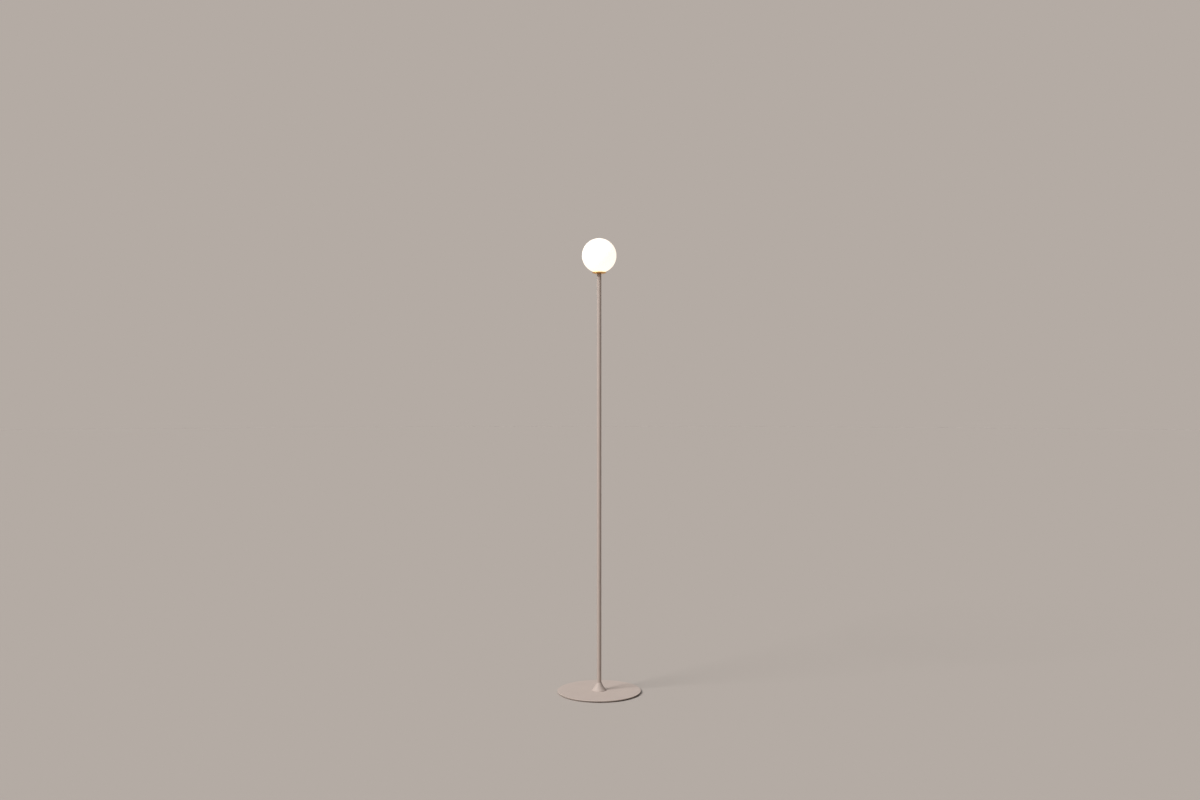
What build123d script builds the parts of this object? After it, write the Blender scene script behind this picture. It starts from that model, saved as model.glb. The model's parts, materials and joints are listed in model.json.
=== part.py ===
from build123d import *

import math
import os

# Floor lamp with an opal glass globe on a slim stem and a thin round base.
# Millimetres, +Z up. The origin is on the floor, under the middle of the base.
# The front of the lamp faces -Y and the lead comes in at the back, along +Y.

# Overall sizes
overall_height = 1580.0
globe_diameter = 120.0
base_diameter = 290.0
stem_diameter = 15.0

# Clearances between pieces
fit_clearance = 0.05
slide_clearance = 0.1
running_clearance = 0.3
lead_clearance = 0.4

# Base plate and its pads
base_thickness = 5.0
base_edge_round = 1.0
base_rim_height = 1.8
base_undercut = 3.2
pad_height = 1.6
pad_diameter = 18.0
pad_inset = 16.0
pad_count = 6

# Flange under the stem, and its countersunk screws
flange_diameter = 40.0
flange_thickness = 4.0
flange_screw_circle = 28.0
flange_screw_count = 3
flange_screw_diameter = 4.0
flange_screw_head = 7.5
flange_screw_head_height = 2.0
flange_screw_grip = 3.2
flange_screw_socket = 2.5
spigot_height = 10.0
spigot_wall = 1.7

# Conical collar that covers the flange
collar_foot_diameter = 50.0
collar_foot_edge = 0.8
collar_height = 27.0
collar_lip = 0.7
collar_sweep = 1.1

# Stem and the threaded tube in its head
stem_wall = 1.2
head_bush_length = 16.0
thread_diameter = 10.0
thread_bore = 7.5
thread_engagement = 14.0
thread_end_proud = 1.0

# Flat two-core lead inside the lamp
lead_width = 5.0
lead_thickness = 2.4
lead_bend_radius = 12.0
lead_end_proud = 1.0
core_diameter = 1.8
core_spacing = 2.2
core_bend_radius = 1.6
core_straight = 2.2

# Lead inlet at the back edge, and the clamp beside it
grommet_length = 8.0
grommet_wall = 1.1
grommet_roof = 0.5
clamp_width = 7.0
clamp_length = 22.0
clamp_thickness = 0.8
clamp_setback = 14.0
clamp_screw_spacing = 15.0
clamp_screw_diameter = 3.0
clamp_screw_depth = 2.2
clamp_screw_head = 5.0
clamp_screw_head_height = 0.6
clamp_screw_socket = 2.0
clamp_screw_socket_depth = 0.5

# Opal globe with a short moulded neck
globe_wall = 3.0
neck_diameter = 38.0
neck_wall = 2.5
neck_length = 3.0
neck_lip_round = 0.8

# Silicone gasket round the neck
gasket_wall = 0.8
gasket_floor = 1.0
gasket_grip = 2.0

# Brass dish under the globe
dish_rim_width = 3.6
dish_rim_height = 2.4
dish_rim_round = 0.8
dish_well_depth = 3.0
dish_floor = 2.4
dish_belly = 0.7

# Lock washer and nut on the threaded tube
washer_diameter = 18.0
washer_thickness = 0.8
washer_tooth_count = 12
washer_notch_width = 1.4
washer_notch_depth = 1.8
nut_across_flats = 14.0
nut_height = 3.0

# Lampholder: a threaded plastic sleeve with a ceramic insert
sleeve_thread_room = 1.3
sleeve_wall = 2.2
sleeve_floor = 2.5
sleeve_ledge_height = 15.0
sleeve_ledge_thickness = 2.0
sleeve_ledge_width = 3.8
sleeve_top_lip = 1.0
insert_height = 12.0
insert_screw_diameter = 2.0
insert_screw_head = 3.6
insert_screw_head_height = 1.2
insert_screw_inset = 2.4
insert_screw_socket = 1.3
insert_screw_socket_depth = 0.7

# Contact clips in the insert
pin_spacing = 9.0
pin_wire = 0.8
pin_loop_width = 2.4
pin_end_flat = 0.4
pin_length = 8.0
clip_leaf = 0.4
clip_height = 10.5
clip_web = 0.6

# Two-pin bulb
bulb_diameter = 17.0
bulb_cap_height = 10.0
bulb_cap_foot_diameter = 14.0
bulb_shoulder_height = 1.5
bulb_envelope_height = 36.0
bulb_envelope_wall = 0.8
led_core_side = 8.0
led_core_wall = 1.0
led_core_height = 24.0

# Heights worked out from the floor up
plate_bottom = pad_height
plate_top = plate_bottom + base_thickness
flange_top = plate_top + flange_thickness
groove_depth = clamp_thickness + lead_thickness + 2 * slide_clearance
groove_roof = plate_bottom + groove_depth
lead_run_height = groove_roof - slide_clearance - lead_thickness / 2

# Heights worked out from the top of the globe down
globe_radius = globe_diameter / 2
neck_radius = neck_diameter / 2
neck_bore_radius = neck_radius - neck_wall
globe_centre = overall_height - globe_radius
neck_top = globe_centre - math.sqrt(globe_radius**2 - neck_radius**2)
neck_bottom = neck_top - neck_length
gasket_bottom = neck_bottom - slide_clearance - gasket_floor
well_floor = gasket_bottom - slide_clearance
dish_top = well_floor + dish_well_depth
stem_top = well_floor - dish_floor

# Heights in the lampholder, from the floor of the dish up
washer_bottom = well_floor + sleeve_floor
nut_bottom = washer_bottom + washer_thickness
thread_top = nut_bottom + nut_height + thread_end_proud
lead_top = thread_top + lead_end_proud
ledge_bottom = well_floor + sleeve_ledge_height
insert_bottom = ledge_bottom + sleeve_ledge_thickness
insert_top = insert_bottom + insert_height
bulb_foot = insert_top + running_clearance
bulb_shoulder = bulb_foot + bulb_cap_height

# Radii that mating pieces share
base_radius = base_diameter / 2
stem_radius = stem_diameter / 2
stem_bore_radius = stem_radius - stem_wall
thread_radius = thread_diameter / 2
thread_hole_radius = thread_radius + fit_clearance
bush_radius = stem_bore_radius - fit_clearance
gasket_inner_radius = neck_radius + running_clearance
gasket_radius = gasket_inner_radius + gasket_wall
well_radius = gasket_radius + running_clearance
dish_radius = well_radius + dish_rim_width
sleeve_radius = neck_bore_radius - sleeve_thread_room
sleeve_bore_radius = sleeve_radius - sleeve_wall
insert_radius = sleeve_bore_radius - fit_clearance
groove_width = lead_width + 2 * lead_clearance
pad_circle_radius = base_radius - pad_inset
clip_gap = pin_wire + 2 * running_clearance
clip_depth = clip_gap + 2 * clip_leaf
clip_width = pin_loop_width + pin_wire


def save(shape, name):
    """Write one piece, or one group of like pieces, to its own file."""
    export_step(shape, f"parts/{name}.step")


def turned(outline):
    """Turn a closed outline, drawn as radius and height, about the lamp's axis."""
    return revolve(Plane.XZ * make_face(outline), Axis.Z)


def ring(outer_radius, inner_radius, bottom, top):
    """Plain ring or tube between two heights."""
    height = top - bottom
    upright = (Align.CENTER, Align.CENTER, Align.MIN)
    solid = Cylinder(outer_radius, height, align=upright)
    return Pos(0, 0, bottom) * (solid - Cylinder(inner_radius, height, align=upright))


def rod(radius, bottom, top):
    """Plain round bar between two heights."""
    upright = (Align.CENTER, Align.CENTER, Align.MIN)
    return Pos(0, 0, bottom) * Cylinder(radius, top - bottom, align=upright)


def block(width, front, back, bottom, top):
    """Box centred on X, between two depths and two heights."""
    corner = (Align.CENTER, Align.MIN, Align.MIN)
    return Pos(0, front, bottom) * Box(width, back - front, top - bottom, align=corner)


def hex_bar(across_flats, bottom, top):
    """Hexagonal bar between two heights."""
    section = RegularPolygon(across_flats / 2, 6, major_radius=False)
    return Pos(0, 0, bottom) * extrude(section, top - bottom)


def around(radius, count, first_angle, shape):
    """Copies of a shape, evenly spaced on a circle about the lamp's axis."""
    step = 360 / count
    return [Rot(0, 0, first_angle + i * step) * Pos(radius, 0, 0) * shape for i in range(count)]


def lead_slot(bottom, top):
    """Room for the lead where it bends out of the stem towards the back."""
    front = -(lead_width / 2 + lead_clearance)
    return block(groove_width, front, lead_bend_radius, bottom, top)


def flange_screw_places(shape):
    """Copies of a shape at the flange screws, clear of the lead's groove."""
    first_angle = 90 + 180 / flange_screw_count
    return around(flange_screw_circle / 2, flange_screw_count, first_angle, shape)


def clamp_screw_places(shape):
    """Copies of a shape at the two clamp screws, one each side of the groove."""
    depth = base_radius - clamp_setback
    return [Pos(side * clamp_screw_spacing / 2, depth, 0) * shape for side in (-1, 1)]


def plate_blank():
    """Plain disc of the base, with its rounded upper edge and the bevel that keeps its rim thin."""
    disc = turned(
        Polyline(
            (0, plate_bottom),
            (base_radius - base_undercut, plate_bottom),
            (base_radius, plate_top - base_rim_height),
            (base_radius, plate_top),
            (0, plate_top),
            close=True,
        )
    )
    return fillet(disc.edges().group_by(Axis.Z)[-1], base_edge_round)


def make_base_plate():
    groove = block(groove_width, 0, base_radius, plate_bottom, groove_roof)
    pocket = block(
        groove_width + 2 * grommet_wall,
        base_radius - grommet_length,
        base_radius,
        plate_bottom,
        groove_roof + grommet_roof,
    )
    clamp_middle = base_radius - clamp_setback
    clamp_seat = block(
        clamp_length + 2 * lead_clearance,
        clamp_middle - clamp_width / 2 - lead_clearance,
        clamp_middle + clamp_width / 2 + lead_clearance,
        plate_bottom,
        plate_bottom + clamp_thickness,
    )
    screw_hole = flange_screw_blank(fit_clearance)
    clamp_hole_radius = clamp_screw_diameter / 2 + fit_clearance
    clamp_hole = rod(clamp_hole_radius, plate_bottom, clamp_screw_tip() + slide_clearance)
    cuts = [groove, pocket, clamp_seat, lead_slot(plate_bottom, plate_top)]
    cuts += flange_screw_places(screw_hole)
    cuts += clamp_screw_places(clamp_hole)
    return plate_blank() - cuts


def flange_screw_blank(grow):
    """Countersunk screw without its socket, grown all round by a clearance."""
    head = flange_screw_head / 2 + grow
    shank = flange_screw_diameter / 2 + grow
    return turned(
        Polyline(
            (0, plate_bottom),
            (head, plate_bottom),
            (shank, plate_bottom + flange_screw_head_height),
            (shank, plate_top + flange_screw_grip + grow),
            (0, plate_top + flange_screw_grip + grow),
            close=True,
        )
    )


def make_flange_screws():
    socket_top = plate_bottom + flange_screw_head_height
    screw = flange_screw_blank(0) - hex_bar(flange_screw_socket, plate_bottom, socket_top)
    return Compound(children=flange_screw_places(screw))


def make_floor_pads():
    pad = rod(pad_diameter / 2, 0, pad_height)
    return Compound(children=around(pad_circle_radius, pad_count, 0, pad))


def make_foot_flange():
    flange = rod(flange_diameter / 2, plate_top, flange_top)
    spigot_radius = stem_bore_radius - fit_clearance
    flange += rod(spigot_radius, flange_top, flange_top + spigot_height)
    lead_way = rod(spigot_radius - spigot_wall, plate_top, flange_top + spigot_height)
    screw_hole = rod(flange_screw_diameter / 2 + fit_clearance, plate_top, flange_top)
    return flange - [lead_way, lead_slot(plate_top, flange_top)] - flange_screw_places(screw_hole)


def make_base_collar():
    foot = collar_foot_diameter / 2
    bore = stem_radius + slide_clearance
    tip = bore + collar_lip
    top = plate_top + collar_height
    lower = (foot, plate_top + collar_foot_edge)
    upper = (tip, top)
    middle = ((foot + tip) / 2 - collar_sweep, (lower[1] + top) / 2 - collar_sweep)
    well = flange_diameter / 2 + slide_clearance
    well_top = flange_top + slide_clearance
    inside = Polyline(upper, (bore, top), (bore, well_top), (well, well_top), (well, plate_top))
    outside = Polyline((well, plate_top), (foot, plate_top), lower)
    return turned(inside + outside + ThreePointArc(lower, middle, upper))


def make_globe_dish():
    rim_bottom = dish_top - dish_rim_height
    hub = (stem_radius, stem_top)
    rim = (dish_radius, rim_bottom)
    belly = ((hub[0] + rim[0]) / 2 + dish_belly, (hub[1] + rim[1]) / 2 - dish_belly)
    upper = Polyline(
        rim,
        (dish_radius, dish_top),
        (well_radius, dish_top),
        (well_radius, well_floor),
        (thread_hole_radius, well_floor),
        (thread_hole_radius, stem_top),
        hub,
    )
    dish = turned(upper + ThreePointArc(hub, belly, rim))
    return fillet(dish.edges().group_by(Axis.Z)[-1].sort_by(SortBy.RADIUS)[-1], dish_rim_round)


def make_lock_washer():
    plain = ring(washer_diameter / 2, thread_hole_radius, washer_bottom, nut_bottom)
    reach = washer_diameter / 2
    notch = block(washer_notch_width, -washer_notch_depth, washer_notch_depth, washer_bottom, nut_bottom)
    return plain - around(reach, washer_tooth_count, 0, Rot(0, 0, 90) * notch)


def make_head_nut():
    nut = hex_bar(nut_across_flats, nut_bottom, nut_bottom + nut_height)
    return nut - rod(thread_hole_radius, nut_bottom, nut_bottom + nut_height)


def insert_screw_places(shape):
    """Copies of a shape at the two insert screws, in front of and behind the clips."""
    depth = insert_radius - insert_screw_inset
    return [Pos(0, side * depth, 0) * shape for side in (-1, 1)]


def insert_screw_blank(grow):
    """Cheese-head screw without its socket, grown all round by a clearance."""
    head_bottom = insert_top - insert_screw_head_height
    head = rod(insert_screw_head / 2 + grow, head_bottom, insert_top)
    return head + rod(insert_screw_diameter / 2 + grow, ledge_bottom, head_bottom)


def make_holder_sleeve():
    top = insert_top + sleeve_top_lip
    sleeve = ring(sleeve_radius, sleeve_bore_radius, well_floor, top)
    floor = ring(sleeve_bore_radius, thread_hole_radius, well_floor, washer_bottom)
    ledge_inner = sleeve_bore_radius - sleeve_ledge_width
    ledge = ring(sleeve_bore_radius, ledge_inner, ledge_bottom, insert_bottom)
    return sleeve + floor + ledge - insert_screw_places(insert_screw_blank(fit_clearance))


def clip_places(shape):
    """Copies of a shape at the two contacts, left and right."""
    return [Pos(side * pin_spacing / 2, 0, 0) * shape for side in (-1, 1)]


def make_holder_insert():
    insert = rod(insert_radius, insert_bottom, insert_top)
    reach = clip_depth / 2 + running_clearance
    cavity = block(clip_width + 2 * running_clearance, -reach, reach, insert_bottom, insert_top)
    return insert - clip_places(cavity) - insert_screw_places(insert_screw_blank(fit_clearance))


def make_insert_screws():
    socket = hex_bar(insert_screw_socket, insert_top - insert_screw_socket_depth, insert_top)
    return Compound(children=insert_screw_places(insert_screw_blank(0) - socket))


def make_contact_clips():
    clip_top = insert_bottom + clip_height
    outer = block(clip_width, -clip_depth / 2, clip_depth / 2, insert_bottom, clip_top)
    gap = block(clip_width, -clip_gap / 2, clip_gap / 2, insert_bottom + clip_web, clip_top)
    return Compound(children=clip_places(outer - gap))


def make_inner_lead():
    lead_start = base_radius - grommet_length - slide_clearance
    route = FilletPolyline(
        (0, lead_start, lead_run_height),
        (0, 0, lead_run_height),
        (0, 0, lead_top),
        radius=lead_bend_radius,
    )
    section = SlotOverall(lead_width, lead_thickness)
    start = Plane(origin=route @ 0, x_dir=(1, 0, 0), z_dir=route % 0)
    return sweep(start * section, route)


def make_core(side):
    """One insulated core, from the end of the lead to its contact clip."""
    near = side * core_spacing / 2
    far = side * pin_spacing / 2
    route = FilletPolyline(
        (near, 0, lead_top),
        (near, 0, lead_top + core_straight),
        (far, 0, insert_bottom - core_straight),
        (far, 0, insert_bottom),
        radius=core_bend_radius,
    )
    return sweep(Plane(origin=route @ 0, z_dir=route % 0) * Circle(core_diameter / 2), route)


def make_cord_grommet():
    outer = block(
        groove_width + 2 * grommet_wall - 2 * fit_clearance,
        base_radius - grommet_length + fit_clearance,
        base_radius,
        plate_bottom,
        groove_roof + grommet_roof - fit_clearance,
    )
    way = block(groove_width, 0, base_radius, plate_bottom, groove_roof)
    return (outer - way) & plate_blank()


def clamp_screw_tip():
    return plate_bottom + clamp_thickness + clamp_screw_depth


def make_lead_clamp():
    middle = base_radius - clamp_setback
    front = middle - clamp_width / 2
    strip = block(clamp_length, front, front + clamp_width, plate_bottom, plate_bottom + clamp_thickness)
    hole_radius = clamp_screw_diameter / 2 + fit_clearance
    hole = rod(hole_radius, plate_bottom, plate_bottom + clamp_thickness)
    return strip - clamp_screw_places(hole)


def make_clamp_screws():
    head_bottom = plate_bottom - clamp_screw_head_height
    screw = rod(clamp_screw_head / 2, head_bottom, plate_bottom)
    screw += rod(clamp_screw_diameter / 2, plate_bottom, clamp_screw_tip())
    screw -= hex_bar(clamp_screw_socket, head_bottom, head_bottom + clamp_screw_socket_depth)
    return Compound(children=clamp_screw_places(screw))


def make_neck_gasket():
    floor_top = gasket_bottom + gasket_floor
    floor = ring(gasket_radius, neck_bore_radius, gasket_bottom, floor_top)
    return floor + ring(gasket_radius, gasket_inner_radius, floor_top, floor_top + gasket_grip)


def make_globe_glass():
    inner_radius = globe_radius - globe_wall
    bore_top = globe_centre - math.sqrt(inner_radius**2 - neck_bore_radius**2)
    outer_top = (0, overall_height)
    inner_top = (0, globe_centre + inner_radius)
    outer = ThreePointArc(outer_top, (globe_radius, globe_centre), (neck_radius, neck_top))
    inner = ThreePointArc((neck_bore_radius, bore_top), (inner_radius, globe_centre), inner_top)
    neck = Polyline(
        (neck_radius, neck_top),
        (neck_radius, neck_bottom),
        (neck_bore_radius, neck_bottom),
        (neck_bore_radius, bore_top),
    )
    globe = turned(outer + neck + inner + Line(inner_top, outer_top))
    return fillet(globe.edges().group_by(Axis.Z)[0], neck_lip_round)


def make_bulb_cap():
    foot = bulb_cap_foot_diameter / 2
    step = bulb_diameter / 2 - bulb_envelope_wall - fit_clearance
    return turned(
        Polyline(
            (0, bulb_foot),
            (foot, bulb_foot),
            (bulb_diameter / 2, bulb_shoulder - bulb_shoulder_height),
            (bulb_diameter / 2, bulb_shoulder),
            (step, bulb_shoulder),
            (step, bulb_shoulder + bulb_shoulder_height),
            (0, bulb_shoulder + bulb_shoulder_height),
            close=True,
        )
    )


def make_bulb_pins():
    half = pin_loop_width / 2
    route = FilletPolyline(
        (-half, 0, bulb_foot),
        (-half, 0, bulb_foot - pin_length),
        (half, 0, bulb_foot - pin_length),
        (half, 0, bulb_foot),
        radius=half - pin_end_flat / 2,
    )
    loop = sweep(Plane(origin=route @ 0, z_dir=route % 0) * Circle(pin_wire / 2), route)
    return Compound(children=clip_places(loop))


def make_bulb_envelope():
    outer = bulb_diameter / 2
    inner = outer - bulb_envelope_wall
    top = bulb_shoulder + bulb_envelope_height
    spring = top - outer
    slant = math.sqrt(0.5)
    wall = Polyline((inner, spring), (inner, bulb_shoulder), (outer, bulb_shoulder), (outer, spring))
    dome = ThreePointArc((outer, spring), (outer * slant, spring + outer * slant), (0, top))
    hollow = ThreePointArc((0, spring + inner), (inner * slant, spring + inner * slant), (inner, spring))
    return turned(wall + dome + Line((0, top), (0, spring + inner)) + hollow)


def make_bulb_led_core():
    bottom = bulb_shoulder + bulb_shoulder_height
    bore = led_core_side - 2 * led_core_wall
    section = Rectangle(led_core_side, led_core_side) - Rectangle(bore, bore)
    return Pos(0, 0, bottom) * extrude(section, led_core_height)


pieces = {
    "base_plate": make_base_plate(),
    "floor_pads": make_floor_pads(),
    "foot_flange": make_foot_flange(),
    "flange_screws": make_flange_screws(),
    "base_collar": make_base_collar(),
    "stem_tube": ring(stem_radius, stem_bore_radius, flange_top, stem_top),
    "head_bush": ring(bush_radius, thread_hole_radius, stem_top - head_bush_length, stem_top),
    "threaded_tube": ring(thread_radius, thread_bore / 2, stem_top - thread_engagement, thread_top),
    "globe_dish": make_globe_dish(),
    "lock_washer": make_lock_washer(),
    "head_nut": make_head_nut(),
    "holder_sleeve": make_holder_sleeve(),
    "holder_insert": make_holder_insert(),
    "insert_screws": make_insert_screws(),
    "contact_clips": make_contact_clips(),
    "inner_lead": make_inner_lead(),
    "live_core": make_core(1),
    "neutral_core": make_core(-1),
    "cord_grommet": make_cord_grommet(),
    "lead_clamp": make_lead_clamp(),
    "clamp_screws": make_clamp_screws(),
    "neck_gasket": make_neck_gasket(),
    "globe_glass": make_globe_glass(),
    "bulb_cap": make_bulb_cap(),
    "bulb_pins": make_bulb_pins(),
    "bulb_envelope": make_bulb_envelope(),
    "bulb_led_core": make_bulb_led_core(),
}

os.makedirs("parts", exist_ok=True)
for piece_name, piece in pieces.items():
    save(piece, piece_name)
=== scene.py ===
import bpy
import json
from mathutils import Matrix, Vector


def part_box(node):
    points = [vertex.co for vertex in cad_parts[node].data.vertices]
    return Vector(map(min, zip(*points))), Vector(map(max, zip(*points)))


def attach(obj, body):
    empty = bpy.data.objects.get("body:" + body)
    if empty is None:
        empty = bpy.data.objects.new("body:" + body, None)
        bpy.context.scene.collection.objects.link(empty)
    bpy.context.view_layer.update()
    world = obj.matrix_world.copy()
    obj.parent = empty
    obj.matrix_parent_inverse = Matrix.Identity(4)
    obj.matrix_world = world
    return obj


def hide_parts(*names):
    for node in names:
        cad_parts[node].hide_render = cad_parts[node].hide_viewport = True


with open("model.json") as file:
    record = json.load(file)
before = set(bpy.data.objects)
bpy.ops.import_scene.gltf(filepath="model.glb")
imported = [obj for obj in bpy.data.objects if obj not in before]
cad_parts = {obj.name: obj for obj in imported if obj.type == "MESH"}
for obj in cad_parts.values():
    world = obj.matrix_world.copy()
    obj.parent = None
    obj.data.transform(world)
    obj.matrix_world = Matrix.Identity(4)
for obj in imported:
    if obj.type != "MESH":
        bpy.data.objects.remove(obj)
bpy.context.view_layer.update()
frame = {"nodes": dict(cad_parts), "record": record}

import json
import math
from typing import NamedTuple

import bmesh
import bpy
from mathutils import Vector

bl_info = {
    "name": "Opal globe floor lamp",
    "version": (1, 0, 0),
    "blender": (4, 5, 0),
    "location": "3D View > Sidebar > Floor lamp",
    "description": "Builds the finished floor lamp and its studio around the packed model",
    "category": "Add Mesh",
}

MM = 0.001
MERGE_DISTANCE = 0.001 * MM
SHARP_ANGLE = math.radians(30)
PATH_RADIUS = 1.0
SENSOR_WIDTH = 36.0

# Room round a piece that is pressed into another, and round one that slips over another.
FIT = 0.05 * MM
SLIP = 0.1 * MM

# How far a cutter reaches past the face that it opens.
CUT_PAST = 1 * MM

# A thread's bead has this many sides, and over this share of its length each end fades to this size.
BEAD_SIDES = 10
BEAD_FADE = 0.08
BEAD_END = 0.15

# Nearly all values of a noise texture lie between these two.
NOISE_SPAN = {"From Min": 0.3, "From Max": 0.7}


class ScrewSize(NamedTuple):
    """Sizes of one kind of socket screw."""

    head_radius: float
    head_height: float
    shank_radius: float
    key_width: float
    key_depth: float
    countersunk: bool = False


FLANGE_SCREW = ScrewSize(
    head_radius=3.75 * MM,
    head_height=2.0 * MM,
    shank_radius=2.0 * MM,
    key_width=2.5 * MM,
    key_depth=2.0 * MM,
    countersunk=True,
)
CLAMP_SCREW = ScrewSize(
    head_radius=2.5 * MM,
    head_height=0.6 * MM,
    shank_radius=1.5 * MM,
    key_width=2.0 * MM,
    key_depth=0.5 * MM,
)
INSERT_SCREW = ScrewSize(
    head_radius=1.8 * MM,
    head_height=1.2 * MM,
    shank_radius=1.0 * MM,
    key_width=1.3 * MM,
    key_depth=0.7 * MM,
)


def linear(code):
    """Turn an sRGB hex colour into linear red, green and blue."""
    parts = [int(code[i:i + 2], 16) / 255 for i in (0, 2, 4)]
    return tuple(p / 12.92 if p <= 0.04045 else ((p + 0.055) / 1.055) ** 2.4 for p in parts)


def length(name, description, size_mm):
    """A length that a user may change, written in millimetres."""
    return bpy.props.FloatProperty(
        name=name, description=description, default=size_mm * MM, min=0, unit="LENGTH", precision=4
    )


def colour(name, description, code):
    """A colour that a user may change, written as sRGB hex."""
    return bpy.props.FloatVectorProperty(
        name=name, description=description, default=linear(code), size=3, min=0, max=1, subtype="COLOR"
    )


def count(name, description, number):
    """A number of like things that a user may change."""
    return bpy.props.IntProperty(name=name, description=description, default=number, min=1)


def amount(name, description, number):
    """A strength or a share that a user may change."""
    return bpy.props.FloatProperty(name=name, description=description, default=number, min=0)


def angle(name, description, degrees):
    """An angle that a user may change, written in degrees."""
    return bpy.props.FloatProperty(
        name=name, description=description, default=math.radians(degrees), subtype="ANGLE"
    )


class LampSizes(bpy.types.PropertyGroup):
    """Sizes of the finer forms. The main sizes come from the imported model."""

    turned_segments: count("Turned segments", "Faces round each large turned piece", 192)
    small_segments: count("Small segments", "Faces round each small turned piece", 48)
    base_edge_round: length("Base edge round", "Radius of the upper edge of the base", 1.0)
    base_rim_height: length("Base rim height", "Upright rim of the base, with its rounded edge", 1.8)
    base_undercut: length("Base undercut", "How far the bevel under the rim reaches in", 3.2)
    collar_foot_edge: length("Collar foot edge", "Upright edge at the foot of the collar", 0.8)
    collar_sweep: length("Collar sweep", "How far the flank of the collar is hollowed", 1.1)
    collar_lip: length("Collar lip", "Wall of the collar where it meets the stem", 0.7)
    stem_wall: length("Stem wall", "Wall of the stem's tube", 1.2)
    lead_room: length("Lead room", "Room round the lead in its groove under the base", 0.4)
    lead_bend: length("Lead bend", "Radius of the lead's bend under the stem", 12.0)
    grommet_roof: length("Grommet roof", "Rubber over the lead where it comes in", 0.5)
    edge_soften: length("Edge softening", "Bevel that coating or polishing leaves on an edge", 0.25)
    globe_wall: length("Globe wall", "Wall of the blown globe", 3.0)
    neck_wall: length("Neck wall", "Wall of the globe's moulded neck", 2.5)
    neck_radius: length("Neck radius", "Outer radius of the globe's neck", 19.0)
    neck_lip_round: length("Neck lip round", "Radius of the fire-polished lip of the neck", 0.8)
    dish_rim_height: length("Dish rim height", "Upright rim of the brass dish", 2.4)
    dish_rim_round: length("Dish rim round", "Radius of the rim's upper edge", 0.8)
    dish_rim_width: length("Dish rim width", "Land between the rim and the well", 3.6)
    dish_well_depth: length("Dish well depth", "Depth of the well that the neck stands in", 3.0)
    dish_belly: length("Dish belly", "How far the underside of the dish swells", 0.7)
    thread_pitch: length("Thread pitch", "Rise of the globe's thread for one turn", 3.0)
    thread_bead: length("Thread bead", "Radius of the bead of the globe's thread", 0.55)
    thread_proud: length("Thread proud", "How far the bead's middle stands off its wall", 0.1)
    thread_start: length("Thread start", "From the lip of the neck up to its thread", 1.3)
    neck_turns: amount("Neck turns", "Turns of thread in the globe's neck", 1.0)
    sleeve_turns: amount("Sleeve turns", "Turns of thread on the lampholder's sleeve", 2.6)
    gasket_wall: length("Gasket wall", "Wall of the gasket round the neck", 0.8)
    gasket_floor: length("Gasket floor", "Floor of the gasket under the neck's lip", 1.0)
    bulb_wall: length("Bulb wall", "Wall of the bulb's frosted envelope", 0.8)
    pad_radius: length("Pad radius", "Radius of a floor pad", 9.0)
    pad_edge_round: length("Pad edge round", "Radius of the edges of a floor pad", 0.3)
    pad_count: count("Floor pads", "Pads under the base", 6)


class LampFinish(bpy.types.PropertyGroup):
    """Colours of the finishes, and how strongly the globe glows."""

    paint: colour("Paint", "Powder coat of the base, collar and stem", "B9AAA1")
    # The brass colour is partly the metal's own and partly painted warm light from the globe, so it is more
    # orange than bare brass.
    brass: colour("Brass", "Turned brass of the dish", "F9C675")
    glass: colour("Glass", "Opal glass in daylight", "F3EEE6")
    glow: colour("Glow", "Light that comes through the glass", "FFEFDC")
    # Painted shade: a dimmer amber glow where the lampholder would shade the glass from the bulb.
    glow_in_holder_shade: colour("Glow at the foot", "Light near the lampholder, where less gets through", "C98A4B")
    glow_strength: amount("Glow strength", "Strength of the light in the glass", 1.0)


class LampStudio(bpy.types.PropertyGroup):
    """Floor, lights and camera."""

    floor: colour("Floor", "Colour of the floor and of the backdrop", "B4ABA4")
    fill: amount("Fill", "Strength of the light from all round", 0.12)
    key: amount("Key", "Strength of the soft light from the left", 2.96)
    key_spread: angle("Key spread", "How wide the key light is, which softens its shadows", 25)
    key_side: angle("Key side", "Turn of the key light from straight ahead towards the left", 59)
    key_rise: angle("Key rise", "Height of the key light over the horizon", 38)
    overhead: amount("Overhead", "Strength of the wide soft light from above", 0.94)
    overhead_spread: angle("Overhead spread", "How wide the light from above is", 80)
    camera_distance: length("Camera distance", "From the camera to the stem", 3954)
    camera_height: length("Camera height", "From the floor to the camera", 1017)
    camera_side: length("Camera side", "How far the camera stands to the right of the stem", 2.8)
    lens: bpy.props.FloatProperty(
        name="Lens", description="Focal length on a sensor 36 mm wide", default=34.05, min=1, unit="CAMERA"
    )
    floor_radius: length("Floor radius", "How far the floor reaches", 40000)


def arc(centre, radius, first, last, steps):
    """Points of an arc in an outline, between two angles in degrees."""
    angles = [math.radians(first + (last - first) * i / steps) for i in range(steps + 1)]
    return [(centre[0] + radius * math.cos(a), centre[1] + radius * math.sin(a)) for a in angles]


def bow(start, middle, end, steps):
    """Points of a shallow curve in an outline, which passes its middle point."""
    pull = [2 * m - (s + e) / 2 for s, m, e in zip(start, middle, end)]
    shares = [i / steps for i in range(steps + 1)]
    return [
        tuple((1 - t) ** 2 * s + 2 * t * (1 - t) * p + t**2 * e for s, p, e in zip(start, pull, end))
        for t in shares
    ]


def add_node(tree, kind, settings, inputs):
    """Add a node with its settings, and set or link its inputs."""
    made = tree.nodes.new(kind)
    for name, value in settings.items():
        setattr(made, name, value)
    for key, value in inputs.items():
        if isinstance(value, bpy.types.NodeSocket):
            tree.links.new(value, made.inputs[key])
        else:
            made.inputs[key].default_value = value
    return made


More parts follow.
